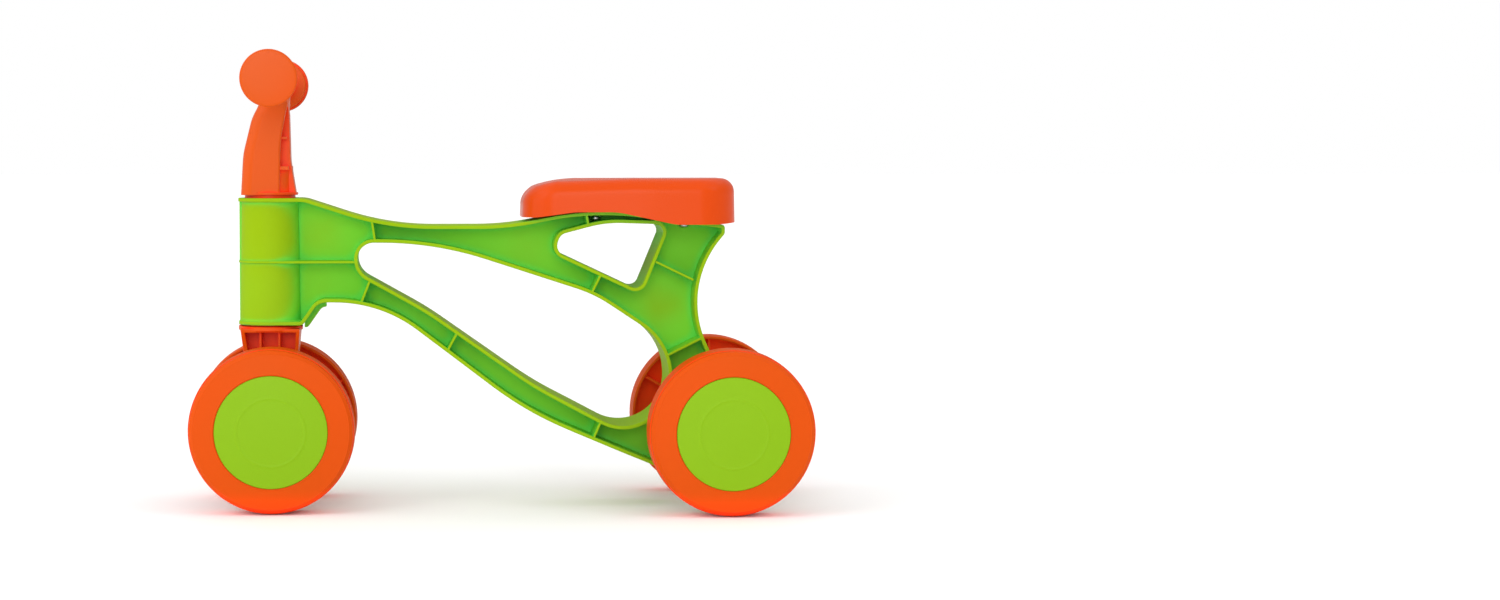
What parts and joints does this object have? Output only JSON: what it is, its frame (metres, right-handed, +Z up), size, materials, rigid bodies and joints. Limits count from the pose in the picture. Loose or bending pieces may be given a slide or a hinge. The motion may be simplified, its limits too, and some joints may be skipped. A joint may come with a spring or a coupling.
{
  "type": "toddler ride-on",
  "caption": "Foot-to-floor ride-on for a toddler: ribbed frame, moulded seat, steered fork with a handlebar, and hollow plastic wheels on steel rods.",
  "frame": {"origin": "on the floor, midway between the axles, in the middle of the track", "axes": "+X to the rider's left, -Y forwards, +Z up"},
  "size_m": [0.235, 0.5386, 0.397],
  "materials": {
    "frame_green": "satin moulded, fine spark texture",
    "moulded_orange": "semi-gloss moulded",
    "wheel_orange": "semi-gloss moulded with turned tread lines",
    "cap_green": "satin moulded",
    "nylon": "natural nylon",
    "steel": "zinc plated"
  },
  "bodies": {
    "frame": {"frame": "frame_green", "seat": "moulded_orange", "seat_screw_front_left": "steel", "seat_screw_front_right": "steel", "seat_screw_rear_left": "steel", "seat_screw_rear_right": "steel", "upper_steering_bush": "nylon", "lower_steering_bush": "nylon", "rear_axle": "steel", "rear_left_axle_nut": "steel", "rear_right_axle_nut": "steel", "rear_left_spacer_washer": "nylon", "rear_right_spacer_washer": "nylon"},
    "steering": {"fork": "moulded_orange", "handlebar": "moulded_orange", "handlebar_screw": "steel", "handlebar_washer": "steel", "front_axle": "steel", "front_left_axle_nut": "steel", "front_right_axle_nut": "steel", "front_left_spacer_washer": "nylon", "front_right_spacer_washer": "nylon"},
    "front_left_wheel": {"front_left_wheel": "wheel_orange", "front_left_hub_cap": "cap_green"},
    "front_right_wheel": {"front_right_wheel": "wheel_orange", "front_right_hub_cap": "cap_green"},
    "rear_left_wheel": {"rear_left_wheel": "wheel_orange", "rear_left_hub_cap": "cap_green"},
    "rear_right_wheel": {"rear_right_wheel": "wheel_orange", "rear_right_hub_cap": "cap_green"}
  },
  "joints": [
    {"name": "steering_turn", "type": "hinge", "parent": "frame", "child": "steering", "pos_m": [0, -0.20025, 0.2], "axis": [0, 0, 1], "range_deg": [-45, 45]},
    {"name": "front_left_wheel_spin", "type": "hinge", "parent": "steering", "child": "front_left_wheel", "pos_m": [0.05, -0.19725, 0.072], "axis": [1, 0, 0], "continuous": true},
    {"name": "front_right_wheel_spin", "type": "hinge", "parent": "steering", "child": "front_right_wheel", "pos_m": [-0.05, -0.19725, 0.072], "axis": [1, 0, 0], "continuous": true},
    {"name": "rear_left_wheel_spin", "type": "hinge", "parent": "frame", "child": "rear_left_wheel", "pos_m": [0.08, 0.19725, 0.072], "axis": [1, 0, 0], "continuous": true},
    {"name": "rear_right_wheel_spin", "type": "hinge", "parent": "frame", "child": "rear_right_wheel", "pos_m": [-0.08, 0.19725, 0.072], "axis": [1, 0, 0], "continuous": true}
  ]
}
